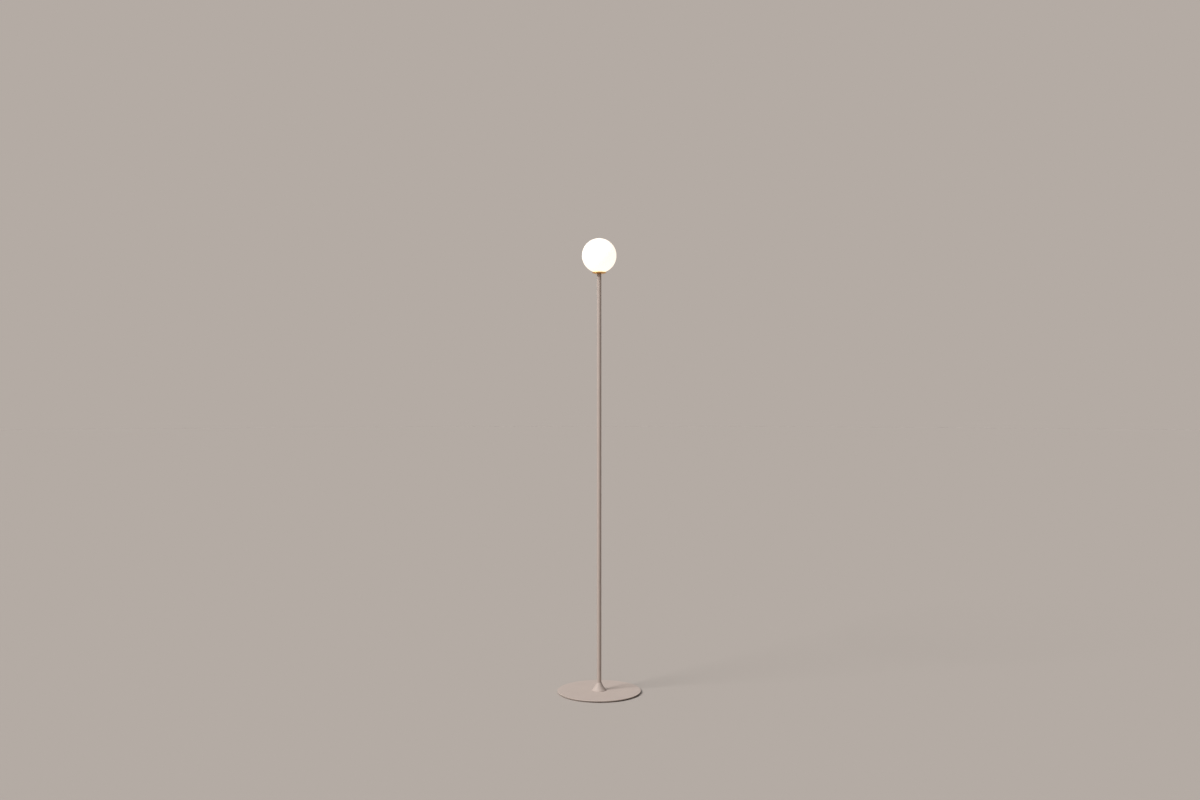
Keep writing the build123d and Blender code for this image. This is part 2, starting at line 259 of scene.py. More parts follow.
def start_tree(name, inputs):
    """Start a geometry tree with named inputs, after the geometry that the object holds."""
    tree = bpy.data.node_groups.new(name, "GeometryNodeTree")
    tree.is_modifier = True
    tree.interface.new_socket("Geometry", in_out="INPUT", socket_type="NodeSocketGeometry")
    for label, kind in inputs.items():
        tree.interface.new_socket(label, in_out="INPUT", socket_type=f"NodeSocket{kind}")
    tree.interface.new_socket("Geometry", in_out="OUTPUT", socket_type="NodeSocketGeometry")
    return tree, add_node(tree, "NodeGroupInput", {}, {}).outputs


def end_tree(tree, geometry, material):
    """End a geometry tree: make copies real, set the material and hand the result on."""
    real = add_node(tree, "GeometryNodeRealizeInstances", {}, {"Geometry": geometry})
    done = add_node(
        tree, "GeometryNodeSetMaterial", {}, {"Geometry": real.outputs["Geometry"], "Material": material}
    )
    add_node(tree, "NodeGroupOutput", {}, {"Geometry": done.outputs["Geometry"]})
    return tree


def turned_tree():
    """Turn the outline that the object holds about the lamp's axis, as a lathe does."""
    tree, given = start_tree("turned_piece", {"Segments": "Int", "Height": "Float", "Material": "Material"})
    # The path is a wide circle, so the outline is first moved in by the path's radius.
    at = add_node(tree, "GeometryNodeInputPosition", {}, {})
    part = add_node(tree, "ShaderNodeSeparateXYZ", {}, {"Vector": at.outputs["Position"]})
    reach = add_node(
        tree, "ShaderNodeMath", {"operation": "SUBTRACT"}, {0: part.outputs["X"], 1: PATH_RADIUS}
    )
    drop = add_node(tree, "ShaderNodeMath", {"operation": "MULTIPLY"}, {0: part.outputs["Z"], 1: -1.0})
    flat = add_node(
        tree, "ShaderNodeCombineXYZ", {}, {"X": reach.outputs["Value"], "Y": drop.outputs["Value"]}
    )
    laid = add_node(
        tree,
        "GeometryNodeSetPosition",
        {},
        {"Geometry": given["Geometry"], "Position": flat.outputs["Vector"]},
    )
    outline = add_node(tree, "GeometryNodeMeshToCurve", {}, {"Mesh": laid.outputs["Geometry"]})
    circle = add_node(
        tree,
        "GeometryNodeCurvePrimitiveCircle",
        {"mode": "RADIUS"},
        {"Resolution": given["Segments"], "Radius": PATH_RADIUS},
    )
    path = add_node(
        tree, "GeometryNodeSetCurveNormal", {"mode": "Z_UP"}, {"Curve": circle.outputs["Curve"]}
    )
    skin = add_node(
        tree,
        "GeometryNodeCurveToMesh",
        {},
        {"Curve": path.outputs["Curve"], "Profile Curve": outline.outputs["Curve"]},
    )
    closed = add_node(
        tree,
        "GeometryNodeMergeByDistance",
        {},
        {"Geometry": skin.outputs["Mesh"], "Distance": MERGE_DISTANCE},
    )
    lift = add_node(tree, "ShaderNodeCombineXYZ", {}, {"Z": given["Height"]})
    raised = add_node(
        tree,
        "GeometryNodeTransform",
        {},
        {"Geometry": closed.outputs["Geometry"], "Translation": lift.outputs["Vector"]},
    )
    return end_tree(tree, raised.outputs["Geometry"], given["Material"])


def ring_tree():
    """Copy what the object holds to even places on a circle, each copy turned to face outwards."""
    tree, given = start_tree(
        "ring_of_copies",
        {
            "Count": "Int",
            "Radius": "Float",
            "First Angle": "Float",
            "Centre": "Vector",
            "Material": "Material",
        },
    )
    index = add_node(tree, "GeometryNodeInputIndex", {}, {})
    step = add_node(tree, "ShaderNodeMath", {"operation": "DIVIDE"}, {0: math.tau, 1: given["Count"]})
    turn = add_node(
        tree,
        "ShaderNodeMath",
        {"operation": "MULTIPLY_ADD"},
        {0: index.outputs["Index"], 1: step.outputs["Value"], 2: given["First Angle"]},
    )
    spin = add_node(tree, "ShaderNodeCombineXYZ", {}, {"Z": turn.outputs["Value"]})
    facing = add_node(tree, "FunctionNodeEulerToRotation", {}, {"Euler": spin.outputs["Vector"]})
    arm = add_node(tree, "ShaderNodeCombineXYZ", {}, {"X": given["Radius"]})
    swung = add_node(
        tree,
        "FunctionNodeRotateVector",
        {},
        {"Vector": arm.outputs["Vector"], "Rotation": facing.outputs["Rotation"]},
    )
    place = add_node(
        tree,
        "ShaderNodeVectorMath",
        {"operation": "ADD"},
        {0: swung.outputs["Vector"], 1: given["Centre"]},
    )
    places = add_node(
        tree, "GeometryNodePoints", {}, {"Count": given["Count"], "Position": place.outputs["Vector"]}
    )
    copies = add_node(
        tree,
        "GeometryNodeInstanceOnPoints",
        {},
        {
            "Points": places.outputs["Points"],
            "Instance": given["Geometry"],
            "Rotation": facing.outputs["Rotation"],
        },
    )
    return end_tree(tree, copies.outputs["Instances"], given["Material"])


def row_tree():
    """Copy what the object holds to even places on a line."""
    tree, given = start_tree("row_of_copies", {"Count": "Int", "Offset": "Vector", "Material": "Material"})
    line = add_node(
        tree,
        "GeometryNodeMeshLine",
        {"mode": "OFFSET"},
        {"Count": given["Count"], "Offset": given["Offset"]},
    )
    copies = add_node(
        tree,
        "GeometryNodeInstanceOnPoints",
        {},
        {"Points": line.outputs["Mesh"], "Instance": given["Geometry"]},
    )
    return end_tree(tree, copies.outputs["Instances"], given["Material"])


def thread_tree():
    """A thread: a round bead that climbs a cylinder and fades out at both ends."""
    tree, given = start_tree(
        "thread_bead",
        {
            "Radius": "Float",
            "Pitch": "Float",
            "Turns": "Float",
            "Bead": "Float",
            "Height": "Float",
            "Segments": "Int",
            "Material": "Material",
        },
    )
    rise = add_node(
        tree, "ShaderNodeMath", {"operation": "MULTIPLY"}, {0: given["Pitch"], 1: given["Turns"]}
    )
    path = add_node(
        tree,
        "GeometryNodeCurveSpiral",
        {},
        {
            "Resolution": given["Segments"],
            "Rotations": given["Turns"],
            "Start Radius": given["Radius"],
            "End Radius": given["Radius"],
            "Height": rise.outputs["Value"],
        },
    )
    section = add_node(
        tree,
        "GeometryNodeCurvePrimitiveCircle",
        {"mode": "RADIUS"},
        {"Resolution": BEAD_SIDES, "Radius": given["Bead"]},
    )
    along = add_node(tree, "GeometryNodeSplineParameter", {}, {})
    from_end = add_node(
        tree, "ShaderNodeMath", {"operation": "PINGPONG"}, {0: along.outputs["Factor"], 1: 0.5}
    )
    fade = add_node(
        tree,
        "ShaderNodeMapRange",
        {"interpolation_type": "SMOOTHSTEP"},
        {"Value": from_end.outputs["Value"], "From Max": BEAD_FADE, "To Min": BEAD_END, "To Max": 1.0},
    )
    bead = add_node(
        tree,
        "GeometryNodeCurveToMesh",
        {},
        {
            "Curve": path.outputs["Curve"],
            "Profile Curve": section.outputs["Curve"],
            "Scale": fade.outputs["Result"],
            "Fill Caps": True,
        },
    )
    lift = add_node(tree, "ShaderNodeCombineXYZ", {}, {"Z": given["Height"]})
    raised = add_node(
        tree,
        "GeometryNodeTransform",
        {},
        {"Geometry": bead.outputs["Mesh"], "Translation": lift.outputs["Vector"]},
    )
    return end_tree(tree, raised.outputs["Geometry"], given["Material"])


def tree_named(name, maker):
    """A geometry tree, made the first time it is asked for."""
    return bpy.data.node_groups.get(name) or maker()


def new_piece(name, points, edges, faces):
    """A new object in the scene, with its place in its mesh."""
    mesh = bpy.data.meshes.new(name)
    mesh.from_pydata(points, edges, faces)
    piece = bpy.data.objects.new(name, mesh)
    bpy.context.collection.objects.link(piece)
    return piece


def settle(piece):
    """Make what the piece's modifiers give a plain closed mesh, with its faces outwards."""
    graph = bpy.context.evaluated_depsgraph_get()
    made = bpy.data.meshes.new_from_object(piece.evaluated_get(graph), depsgraph=graph)
    piece.modifiers.clear()
    old = piece.data
    piece.data = made
    bpy.data.meshes.remove(old)
    shell = bmesh.new()
    shell.from_mesh(made)
    bmesh.ops.remove_doubles(shell, verts=shell.verts, dist=MERGE_DISTANCE)
    bmesh.ops.recalc_face_normals(shell, faces=shell.faces)
    shell.to_mesh(made)
    shell.free()
    made.name = piece.name
    made.shade_smooth()
    made.set_sharp_from_angle(angle=SHARP_ANGLE)


def grow(piece, tree, sizes):
    """Run a geometry tree on a piece with these sizes, and keep the plain mesh that it makes."""
    step = piece.modifiers.new(tree.name, "NODES")
    step.node_group = tree
    for socket in tree.interface.items_tree:
        if socket.in_out == "INPUT" and socket.name in sizes:
            step[socket.identifier] = sizes[socket.name]
    settle(piece)
    return piece


def turned(name, outline, segments, material):
    """A piece turned from an outline of radius and height, which is closed if it keeps off the axis."""
    start = outline[0][1]
    points = [(radius, 0, height - start) for radius, height in outline]
    edges = [(i, i + 1) for i in range(len(points) - 1)]
    if outline[0][0] > 0:
        edges.append((len(points) - 1, 0))
    piece = new_piece(name, points, edges, [])
    sizes = {"Segments": segments, "Height": start, "Material": material}
    return grow(piece, tree_named("turned_piece", turned_tree), sizes)


def ring_of(piece, material, number, radius, first_angle=0, centre=(0, 0, 0)):
    """Copies of a piece on a circle, from an angle in degrees onwards."""
    sizes = {
        "Count": number,
        "Radius": radius,
        "First Angle": math.radians(first_angle),
        "Centre": centre,
        "Material": material,
    }
    return grow(piece, tree_named("ring_of_copies", ring_tree), sizes)


def thread(name, radius, pitch, turns, bead, height, material):
    """A thread bead round the lamp's axis, from a height upwards."""
    sizes = {
        "Radius": radius,
        "Pitch": pitch,
        "Turns": turns,
        "Bead": bead,
        "Height": height,
        "Segments": bpy.context.scene.lamp_sizes.small_segments,
        "Material": material,
    }
    return grow(new_piece(name, [(0, 0, 0)], [], []), tree_named("thread_bead", thread_tree), sizes)


def soften(piece, width):
    """Bevel a piece's sharp edges a little."""
    step = piece.modifiers.new("edge", "BEVEL")
    step.width = width
    step.segments = 3
    step.limit_method = "ANGLE"
    step.angle_limit = SHARP_ANGLE
    settle(piece)


def join_ends(piece):
    """Make each flat end of a turned piece one face, so that a cut through it leaves no slivers."""
    shell = bmesh.new()
    shell.from_mesh(piece.data)
    middles = [corner for corner in shell.verts if corner.co.xy.length < MERGE_DISTANCE]
    bmesh.ops.dissolve_verts(shell, verts=middles)
    shell.to_mesh(piece.data)
    shell.free()


def cut(piece, cutter):
    """Take one closed mesh out of another, and delete the cutter."""
    step = piece.modifiers.new("cut", "BOOLEAN")
    step.operation = "DIFFERENCE"
    step.solver = "EXACT"
    step.object = cutter
    settle(piece)
    bpy.data.objects.remove(cutter)


def block(low, high):
    """A box between two corners, for cutting."""
    piece = new_piece("block", [], [], [])
    solid = bmesh.new()
    bmesh.ops.create_cube(solid, size=1)
    for corner in solid.verts:
        corner.co = [b if c > 0 else a for a, b, c in zip(low, high, corner.co)]
    solid.to_mesh(piece.data)
    solid.free()
    return piece


def hex_key(across_flats, bottom, top):
    """A hexagonal bar between two heights, for cutting a socket."""
    piece = new_piece("hex_key", [], [], [])
    solid = bmesh.new()
    radius = across_flats / math.sqrt(3)
    bmesh.ops.create_cone(
        solid, cap_ends=True, segments=6, radius1=radius, radius2=radius, depth=top - bottom
    )
    bmesh.ops.translate(solid, verts=solid.verts, vec=(0, 0, (top + bottom) / 2))
    solid.to_mesh(piece.data)
    solid.free()
    return piece


def screw(name, size, face, tip):
    """A socket screw on the lamp's axis, from the face of its head to its tip, either way up."""
    way = math.copysign(1, tip - face)
    neck = face + way * size.head_height
    outline = [(0, face), (size.head_radius, face)]
    if not size.countersunk:
        outline.append((size.head_radius, neck))
    outline += [(size.shank_radius, neck), (size.shank_radius, tip), (0, tip)]
    made = turned(name, outline, bpy.context.scene.lamp_sizes.small_segments, finish_of("zinc_steel"))
    join_ends(made)
    socket = sorted((face - way * CUT_PAST, face + way * size.key_depth))
    cut(made, hex_key(size.key_width, *socket))
    return made


def at_flange_screws(piece, material):
    """Copies of a piece at the three screws of the flange."""
    circle = -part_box("flange_screws")[0].y - FLANGE_SCREW.head_radius
    return ring_of(piece, material, number=3, radius=circle, first_angle=30)


def at_clamp_screws(piece, material):
    """Copies of a piece at the two screws of the lead clamp."""
    low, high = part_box("clamp_screws")
    middle = (0, (low.y + high.y) / 2, 0)
    return ring_of(piece, material, number=2, radius=high.x - CLAMP_SCREW.head_radius, centre=middle)


def keep(piece, body, slot, *nodes):
    """Let a finished piece ride on its body, and stand for the nodes that it replaces. Its slot is not
    used.
    """
    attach(piece, body)
    if nodes:
        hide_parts(*nodes)


def start_material(name):
    """A new node material, with its tree and the place of each point on the object in metres."""
    material = bpy.data.materials.new(name)
    material.use_nodes = True
    tree = material.node_tree
    tree.nodes.clear()
    return material, tree, add_node(tree, "ShaderNodeTexCoord", {}, {}).outputs["Object"]


def end_material(material, tree, inputs):
    """End a node material with one shader that has these inputs."""
    shader = add_node(tree, "ShaderNodeBsdfPrincipled", {}, inputs)
    add_node(tree, "ShaderNodeOutputMaterial", {}, {"Surface": shader.outputs["BSDF"]})
    return material


def rgba(values, share=1.0):
    """A colour with full alpha, darkened or lightened by a share."""
    return (*(share * v for v in values), 1.0)


def powder_coat(name):
    """Polyester powder, sprayed on and baked: an even matt skin whose pebbling breaks up each highlight."""
    paint = bpy.context.scene.lamp_finish.paint
    material, tree, place = start_material(name)
    # Real pebbles are near 0.5 mm. They are drawn at 1.1 mm, so that they show in a close view.
    pebbles = add_node(
        tree, "ShaderNodeTexNoise", {}, {"Vector": place, "Scale": 1 / (1.1 * MM), "Detail": 2.0}
    )
    # The film is a little thicker in some places than in others, over about a hand's width.
    clouds = add_node(
        tree, "ShaderNodeTexNoise", {}, {"Vector": place, "Scale": 1 / (60 * MM), "Detail": 2.0}
    )
    tone = add_node(
        tree,
        "ShaderNodeMix",
        {"data_type": "RGBA"},
        {0: clouds.outputs["Fac"], 6: rgba(paint, 0.95), 7: rgba(paint, 1.05)},
    )
    gloss = add_node(
        tree,
        "ShaderNodeMapRange",
        {},
        {"Value": pebbles.outputs["Fac"], **NOISE_SPAN, "To Min": 0.64, "To Max": 0.76},
    )
    skin = add_node(
        tree,
        "ShaderNodeBump",
        {},
        {"Height": pebbles.outputs["Fac"], "Strength": 0.3, "Distance": 0.06 * MM},
    )
    return end_material(
        material,
        tree,
        {
            "Base Color": tone.outputs[2],
            "Roughness": gloss.outputs["Result"],
            "Normal": skin.outputs["Normal"],
        },
    )


def satin_brass(name):
    """Brass turned on a lathe and left satin: a warm metal with fine rings that draw its highlights out."""
    brass = bpy.context.scene.lamp_finish.brass
    material, tree, place = start_material(name)
    flat = add_node(tree, "ShaderNodeVectorMath", {"operation": "MULTIPLY"}, {0: place, 1: (1, 1, 0)})
    radius = add_node(tree, "ShaderNodeVectorMath", {"operation": "LENGTH"}, {0: flat.outputs["Vector"]})
    height = add_node(tree, "ShaderNodeSeparateXYZ", {}, {"Vector": place})
    along = add_node(
        tree, "ShaderNodeCombineXYZ", {}, {"X": radius.outputs["Value"], "Z": height.outputs["Z"]}
    )
    # The tool leaves a ring each 0.15 mm. The rings are drawn at 0.4 mm, so that they show in a close view.
    rings = add_node(
        tree,
        "ShaderNodeTexNoise",
        {},
        {"Vector": along.outputs["Vector"], "Scale": 1 / (0.4 * MM), "Detail": 2.0},
    )
    # Handling dulls the metal in patches as wide as a fingertip.
    patches = add_node(
        tree, "ShaderNodeTexNoise", {}, {"Vector": place, "Scale": 1 / (12 * MM), "Detail": 2.0}
    )
    # Painted light: the tone comes from the brass colour, which holds the globe's warm glow as well as the
    # metal's own colour.
    tone = add_node(
        tree,
        "ShaderNodeMix",
        {"data_type": "RGBA"},
        {0: patches.outputs["Fac"], 6: rgba(brass, 0.9), 7: rgba(brass, 1.05)},
    )
    gloss = add_node(
        tree,
        "ShaderNodeMapRange",
        {},
        {"Value": patches.outputs["Fac"], **NOISE_SPAN, "To Min": 0.26, "To Max": 0.38},
    )
    marks = add_node(
        tree, "ShaderNodeBump", {}, {"Height": rings.outputs["Fac"], "Strength": 0.4, "Distance": 0.02 * MM}
    )
    return end_material(
        material,
        tree,
        {
            "Base Color": tone.outputs[2],
            "Metallic": 1.0,
            "Roughness": gloss.outputs["Result"],
            "Normal": marks.outputs["Normal"],
        },
    )


def opal_glass(name):
    """Blown opal glass, lit from inside: milky warm white, with painted shade of the lampholder as a dimmer
    amber glow near its neck, under a clear gloss.
    """
    finish = bpy.context.scene.lamp_finish
    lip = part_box("globe_glass")[0].z
    shaded_height = 5 * MM
    material, tree, place = start_material(name)
    height = add_node(tree, "ShaderNodeSeparateXYZ", {}, {"Vector": place})
    # Blowing leaves the milky layer a little uneven, in swirls about 35 mm wide.
    swirls = add_node(
        tree,
        "ShaderNodeTexNoise",
        {},
        {"Vector": place, "Scale": 1 / (35 * MM), "Detail": 1.0, "Distortion": 0.6},
    )
    milk = add_node(
        tree,
        "ShaderNodeMix",
        {"data_type": "RGBA"},
        {0: swirls.outputs["Fac"], 6: rgba(finish.glass, 0.97), 7: rgba(finish.glass, 1.03)},
    )
    # Painted shade: over the lowest 5 mm of the glass the glow dims to amber, as if the lampholder blocked
    # the bulb's light there.
    out_of_holder_shade = add_node(
        tree,
        "ShaderNodeMapRange",
        {"interpolation_type": "SMOOTHSTEP"},
        {"Value": height.outputs["Z"], "From Min": lip, "From Max": lip + shaded_height},
    )
    light = add_node(
        tree,
        "ShaderNodeMix",
        {"data_type": "RGBA"},
        {
            0: out_of_holder_shade.outputs["Result"],
            6: rgba(finish.glow_in_holder_shade),
            7: rgba(finish.glow),
        },
    )
    return end_material(
        material,
        tree,
        {
            "Base Color": milk.outputs[2],
            "Roughness": 0.22,
            "IOR": 1.52,
            "Coat Weight": 0.5,
            "Coat Roughness": 0.04,
            "Emission Color": light.outputs[2],
            "Emission Strength": finish.glow_strength,
        },
    )


def plated(name, code, roughness, grain_mm):
    """A plated or rolled metal: grey or coppery, with a fine cloudy grain that keeps it from mirroring."""
    gloss_spread = 0.07
    material, tree, place = start_material(name)
    # The real grain is near 0.1 mm. It is drawn coarser, so that it shows in a close view.
    grain = add_node(
        tree, "ShaderNodeTexNoise", {}, {"Vector": place, "Scale": 1 / (grain_mm * MM), "Detail": 4.0}
    )
    tone = add_node(
        tree,
        "ShaderNodeMix",
        {"data_type": "RGBA"},
        {0: grain.outputs["Fac"], 6: rgba(linear(code), 0.85), 7: rgba(linear(code), 1.1)},
    )
    gloss = add_node(
        tree,
        "ShaderNodeMapRange",
        {},
        {
            "Value": grain.outputs["Fac"],
            **NOISE_SPAN,
            "To Min": roughness - gloss_spread,
            "To Max": roughness + gloss_spread,
        },
    )
    return end_material(
        material,
        tree,
        {"Base Color": tone.outputs[2], "Metallic": 1.0, "Roughness": gloss.outputs["Result"]},
    )


def moulded(name, code, roughness, grain_mm, depth_mm):
    """A moulded or glazed piece: one soft colour, with the grain that its mould or glaze leaves."""
    material, tree, place = start_material(name)
    # A mould's grain is near 0.1 mm. It is drawn coarser, so that it shows in a close view.
    grain = add_node(
        tree, "ShaderNodeTexNoise", {}, {"Vector": place, "Scale": 1 / (grain_mm * MM), "Detail": 3.0}
    )
    tone = add_node(
        tree,
        "ShaderNodeMix",
        {"data_type": "RGBA"},
        {0: grain.outputs["Fac"], 6: rgba(linear(code), 0.94), 7: rgba(linear(code), 1.06)},
    )
    skin = add_node(
        tree,
        "ShaderNodeBump",
        {},
        {"Height": grain.outputs["Fac"], "Strength": 0.5, "Distance": depth_mm * MM},
    )
    return end_material(
        material,
        tree,
        {"Base Color": tone.outputs[2], "Roughness": roughness, "Normal": skin.outputs["Normal"]},
    )


# The finish of each slot of the record and of the bulb's chips, made when a piece first needs it.
FINISHES = {
    "powder_coat": ("polyester_powder_coat_sprayed", powder_coat, ()),
    "satin_brass": ("brass_turned_satin", satin_brass, ()),
    "opal_glass": ("opal_glass_blown_and_lit", opal_glass, ()),
    # Bluish grey and softly bright.
    "zinc_steel": ("steel_zinc_plated", plated, ("BFC3C7", 0.36, 0.8)),
    # Coppery, with the sheen of rolled strip.
    "spring_bronze": ("bronze_rolled_spring", plated, ("C98F5A", 0.30, 0.5)),
    # Black, dull and grippy.
    "pad_rubber": ("rubber_moulded_black", moulded, ("2A2927", 0.75, 0.6, 0.05)),
    # Off-white with a slight shine.
    "holder_plastic": ("thermoset_plastic_moulded_white", moulded, ("E4E1DA", 0.42, 0.7, 0.02)),
    # White under a glassy glaze, a little rippled.
    "glazed_ceramic": ("steatite_ceramic_glazed", moulded, ("EDEAE2", 0.14, 2.0, 0.03)),
    # White and waxy.
    "lead_sheath": ("vinyl_sheath_extruded_white", moulded, ("DEDBD4", 0.48, 1.0, 0.03)),
    # Plain colours with a soft shine, so that the two cores are told apart at a glance.
    "brown_core": ("vinyl_insulation_extruded_brown", moulded, ("6B4630", 0.45, 0.8, 0.02)),
    "blue_core": ("vinyl_insulation_extruded_blue", moulded, ("3E69AB", 0.45, 0.8, 0.02)),
    # Milky, soft and slightly tacky.
    "silicone": ("silicone_moulded_milky", moulded, ("E0DDD5", 0.55, 0.8, 0.02)),
    # White and evenly frosted.
    "bulb_plastic": ("polycarbonate_moulded_frosted", moulded, ("F0EDE6", 0.50, 0.5, 0.02)),
    # White resist over glass fibre.
    "led_board": ("circuit_board_white_resist", moulded, ("E9E6DA", 0.40, 0.6, 0.02)),
    # Egg yellow and dull, cast over each chip.
    "led_phosphor": ("phosphor_silicone_cast", moulded, ("E8C25A", 0.50, 0.4, 0.02)),
}


def finish_of(slot):
    """The material of one of these finishes."""
    name, maker, values = FINISHES[slot]
    return bpy.data.materials.get(name) or maker(name, *values)


class LAMP_OT_fittings(bpy.types.Operator):
    """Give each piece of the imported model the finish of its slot"""

    bl_idname = "lamp.fittings"
    bl_label = "Fittings of the packed model"

    def execute(self, context):
        for row in frame["record"]["subparts"]:
            node = frame["nodes"][row["node"]]
            for place in node.material_slots:
                place.material = finish_of(row["material_slot"])
        return {"FINISHED"}


class LAMP_OT_base(bpy.types.Operator):
    """Make the coated base, with the room under it for the lead, its clamp and the screws"""

    bl_idname = "lamp.base"
    bl_label = "Base"

    def execute(self, context):
        sizes = context.scene.lamp_sizes
        low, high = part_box("base_plate")
        radius = high.x
        edge = sizes.base_edge_round
        coat = finish_of("powder_coat")
        outline = [(0, low.z), (radius - sizes.base_undercut, low.z)]
        outline.append((radius, high.z - sizes.base_rim_height))
        outline += arc((radius - edge, high.z - edge), edge, 0, 90, steps=8)
        # A narrow ring inside the rounded edge keeps the shading of the top flat.
        support = radius - 2 * edge
        outline += [(support, high.z), (0, high.z)]
        base = turned("base_coated", outline, sizes.turned_segments, coat)
        join_ends(base)

        below = low.z - CUT_PAST
        behind = radius + CUT_PAST
        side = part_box("inner_lead")[1].x + sizes.lead_room
        pocket_low, pocket_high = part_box("cord_grommet")
        groove_roof = pocket_high.z + FIT - sizes.grommet_roof
        # A slot lets the lead turn up into the stem.
        cut(base, block((-side, -side, below), (side, sizes.lead_bend, high.z + CUT_PAST)))
        # The groove starts inside the slot, so that its own end leaves no face.
        groove_start = sizes.lead_bend / 2
        cut(base, block((-side, groove_start, below), (side, behind, groove_roof)))
        pocket_front = (pocket_low.x - FIT, pocket_low.y - FIT, below)
        pocket_back = (pocket_high.x + FIT, behind, pocket_high.z + FIT)
        cut(base, block(pocket_front, pocket_back))
        seat_low, seat_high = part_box("lead_clamp")
        room = Vector((sizes.lead_room, sizes.lead_room, 0))
        cut(base, block((*(seat_low - room).xy, below), seat_high + room))

        screw_low, screw_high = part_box("flange_screws")
        head = FLANGE_SCREW.head_radius + FIT
        shank = FLANGE_SCREW.shank_radius + FIT
        countersink = [
            (0, below),
            (head, below),
            (head, screw_low.z),
            (shank, screw_low.z + FLANGE_SCREW.head_height),
            (shank, screw_high.z),
            (0, screw_high.z),
        ]
        holes = turned("countersinks", countersink, sizes.small_segments, coat)
        cut(base, at_flange_screws(holes, coat))
        shank = CLAMP_SCREW.shank_radius + FIT
        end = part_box("clamp_screws")[1].z + SLIP
        bore = [(0, below), (shank, below), (shank, end), (0, end)]
        holes = turned("clamp_holes", bore, sizes.small_segments, coat)
        cut(base, at_clamp_screws(holes, coat))
        keep(base, "stand", "powder_coat", "base_plate")
        return {"FINISHED"}


class LAMP_OT_collar(bpy.types.Operator):
    """Make the coated collar that rises from the base to the stem"""

    bl_idname = "lamp.collar"
    bl_label = "Collar"

    def execute(self, context):
        sizes = context.scene.lamp_sizes
        low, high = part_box("base_collar")
        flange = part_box("foot_flange")[1].x + SLIP
        flange_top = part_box("stem_tube")[0].z + SLIP
        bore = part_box("stem_tube")[1].x + SLIP
        foot = (high.x, low.z + sizes.collar_foot_edge)
        tip = (bore + sizes.collar_lip, high.z)
        middle = [(a + b) / 2 - sizes.collar_sweep for a, b in zip(foot, tip)]
        outline = [(flange, low.z), (high.x, low.z)]
        outline += bow(foot, middle, tip, steps=16)
        outline += [(bore, high.z), (bore, flange_top), (flange, flange_top)]
        collar = turned("collar_coated", outline, sizes.turned_segments, finish_of("powder_coat"))
        soften(collar, sizes.edge_soften)
        keep(collar, "stand", "powder_coat", "base_collar")
        return {"FINISHED"}


class LAMP_OT_stem(bpy.types.Operator):
    """Make the slim coated stem"""

    bl_idname = "lamp.stem"
    bl_label = "Stem"

    def execute(self, context):
        sizes = context.scene.lamp_sizes
        low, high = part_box("stem_tube")
        bore = high.x - sizes.stem_wall
        outline = [(bore, low.z), (high.x, low.z), (high.x, high.z), (bore, high.z)]
        stem = turned("stem_coated", outline, sizes.turned_segments // 2, finish_of("powder_coat"))
        soften(stem, sizes.edge_soften)
        keep(stem, "stand", "powder_coat", "stem_tube")
        return {"FINISHED"}


class LAMP_OT_dish(bpy.types.Operator):
    """Make the turned brass dish under the globe"""

    bl_idname = "lamp.dish"
    bl_label = "Dish"

    def execute(self, context):
        sizes = context.scene.lamp_sizes
        low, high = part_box("globe_dish")
        hub = (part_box("stem_tube")[1].x, low.z)
        rim = (high.x, high.z - sizes.dish_rim_height)
        belly = (
            (hub[0] + rim[0]) / 2 + sizes.dish_belly,
            (hub[1] + rim[1]) / 2 - sizes.dish_belly,
        )
        well = high.x - sizes.dish_rim_width
        well_floor = high.z - sizes.dish_well_depth
        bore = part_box("threaded_tube")[1].x + FIT
        edge = sizes.dish_rim_round
        outline = [(bore, low.z)] + bow(hub, belly, rim, steps=12)
        outline += arc((high.x - edge, high.z - edge), edge, 0, 90, steps=6)
        outline += [(well, high.z), (well, well_floor), (bore, well_floor)]
        dish = turned("dish_turned", outline, sizes.turned_segments, finish_of("satin_brass"))
        soften(dish, sizes.edge_soften / 2)
        keep(dish, "stand", "satin_brass", "globe_dish")
        return {"FINISHED"}


class LAMP_OT_globe(bpy.types.Operator):
    """Make the blown globe with its neck and the thread inside the neck"""

    bl_idname = "lamp.globe"
    bl_label = "Globe"

    def execute(self, context):
        sizes = context.scene.lamp_sizes
        low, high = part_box("globe_glass")
        radius = high.x
        inner = radius - sizes.globe_wall
        neck = sizes.neck_radius
        bore = neck - sizes.neck_wall
        lip = sizes.neck_lip_round
        centre = (0, high.z - radius)
        neck_angle = -math.degrees(math.acos(neck / radius))
        bore_angle = -math.degrees(math.acos(bore / inner))
        outline = arc(centre, radius, 90, neck_angle, steps=96)
        outline += arc((neck - lip, low.z + lip), lip, 0, -90, steps=6)
        outline += arc((bore + lip, low.z + lip), lip, -90, -180, steps=6)
        outline += arc(centre, inner, bore_angle, 90, steps=64)
        outline[0] = (0, high.z)
        outline[-1] = (0, centre[1] + inner)
        globe = turned("globe_blown", outline, sizes.turned_segments, finish_of("opal_glass"))
        keep(globe, "globe", "opal_glass", "globe_glass")

        ridge = thread(
            "neck_thread",
            bore - sizes.thread_proud,
            sizes.thread_pitch,
            sizes.neck_turns,
            sizes.thread_bead,
            low.z + sizes.thread_start,
            finish_of("opal_glass"),
        )
        keep(ridge, "globe", "opal_glass")
        return {"FINISHED"}


class LAMP_OT_gasket(bpy.types.Operator):
    """Make the soft gasket round the neck of the globe"""

    bl_idname = "lamp.gasket"
    bl_label = "Gasket"

    def execute(self, context):
        sizes = context.scene.lamp_sizes
        low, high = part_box("neck_gasket")
        bore = sizes.neck_radius - sizes.neck_wall
        inner = high.x - sizes.gasket_wall
        floor = low.z + sizes.gasket_floor
        outline = [
            (bore, low.z),
            (high.x, low.z),
            (high.x, high.z),
            (inner, high.z),
            (inner, floor),
            (bore, floor),
        ]
        gasket = turned("gasket_moulded", outline, sizes.turned_segments // 2, finish_of("silicone"))
        soften(gasket, sizes.edge_soften / 2)
        keep(gasket, "seal", "silicone", "neck_gasket")
        return {"FINISHED"}


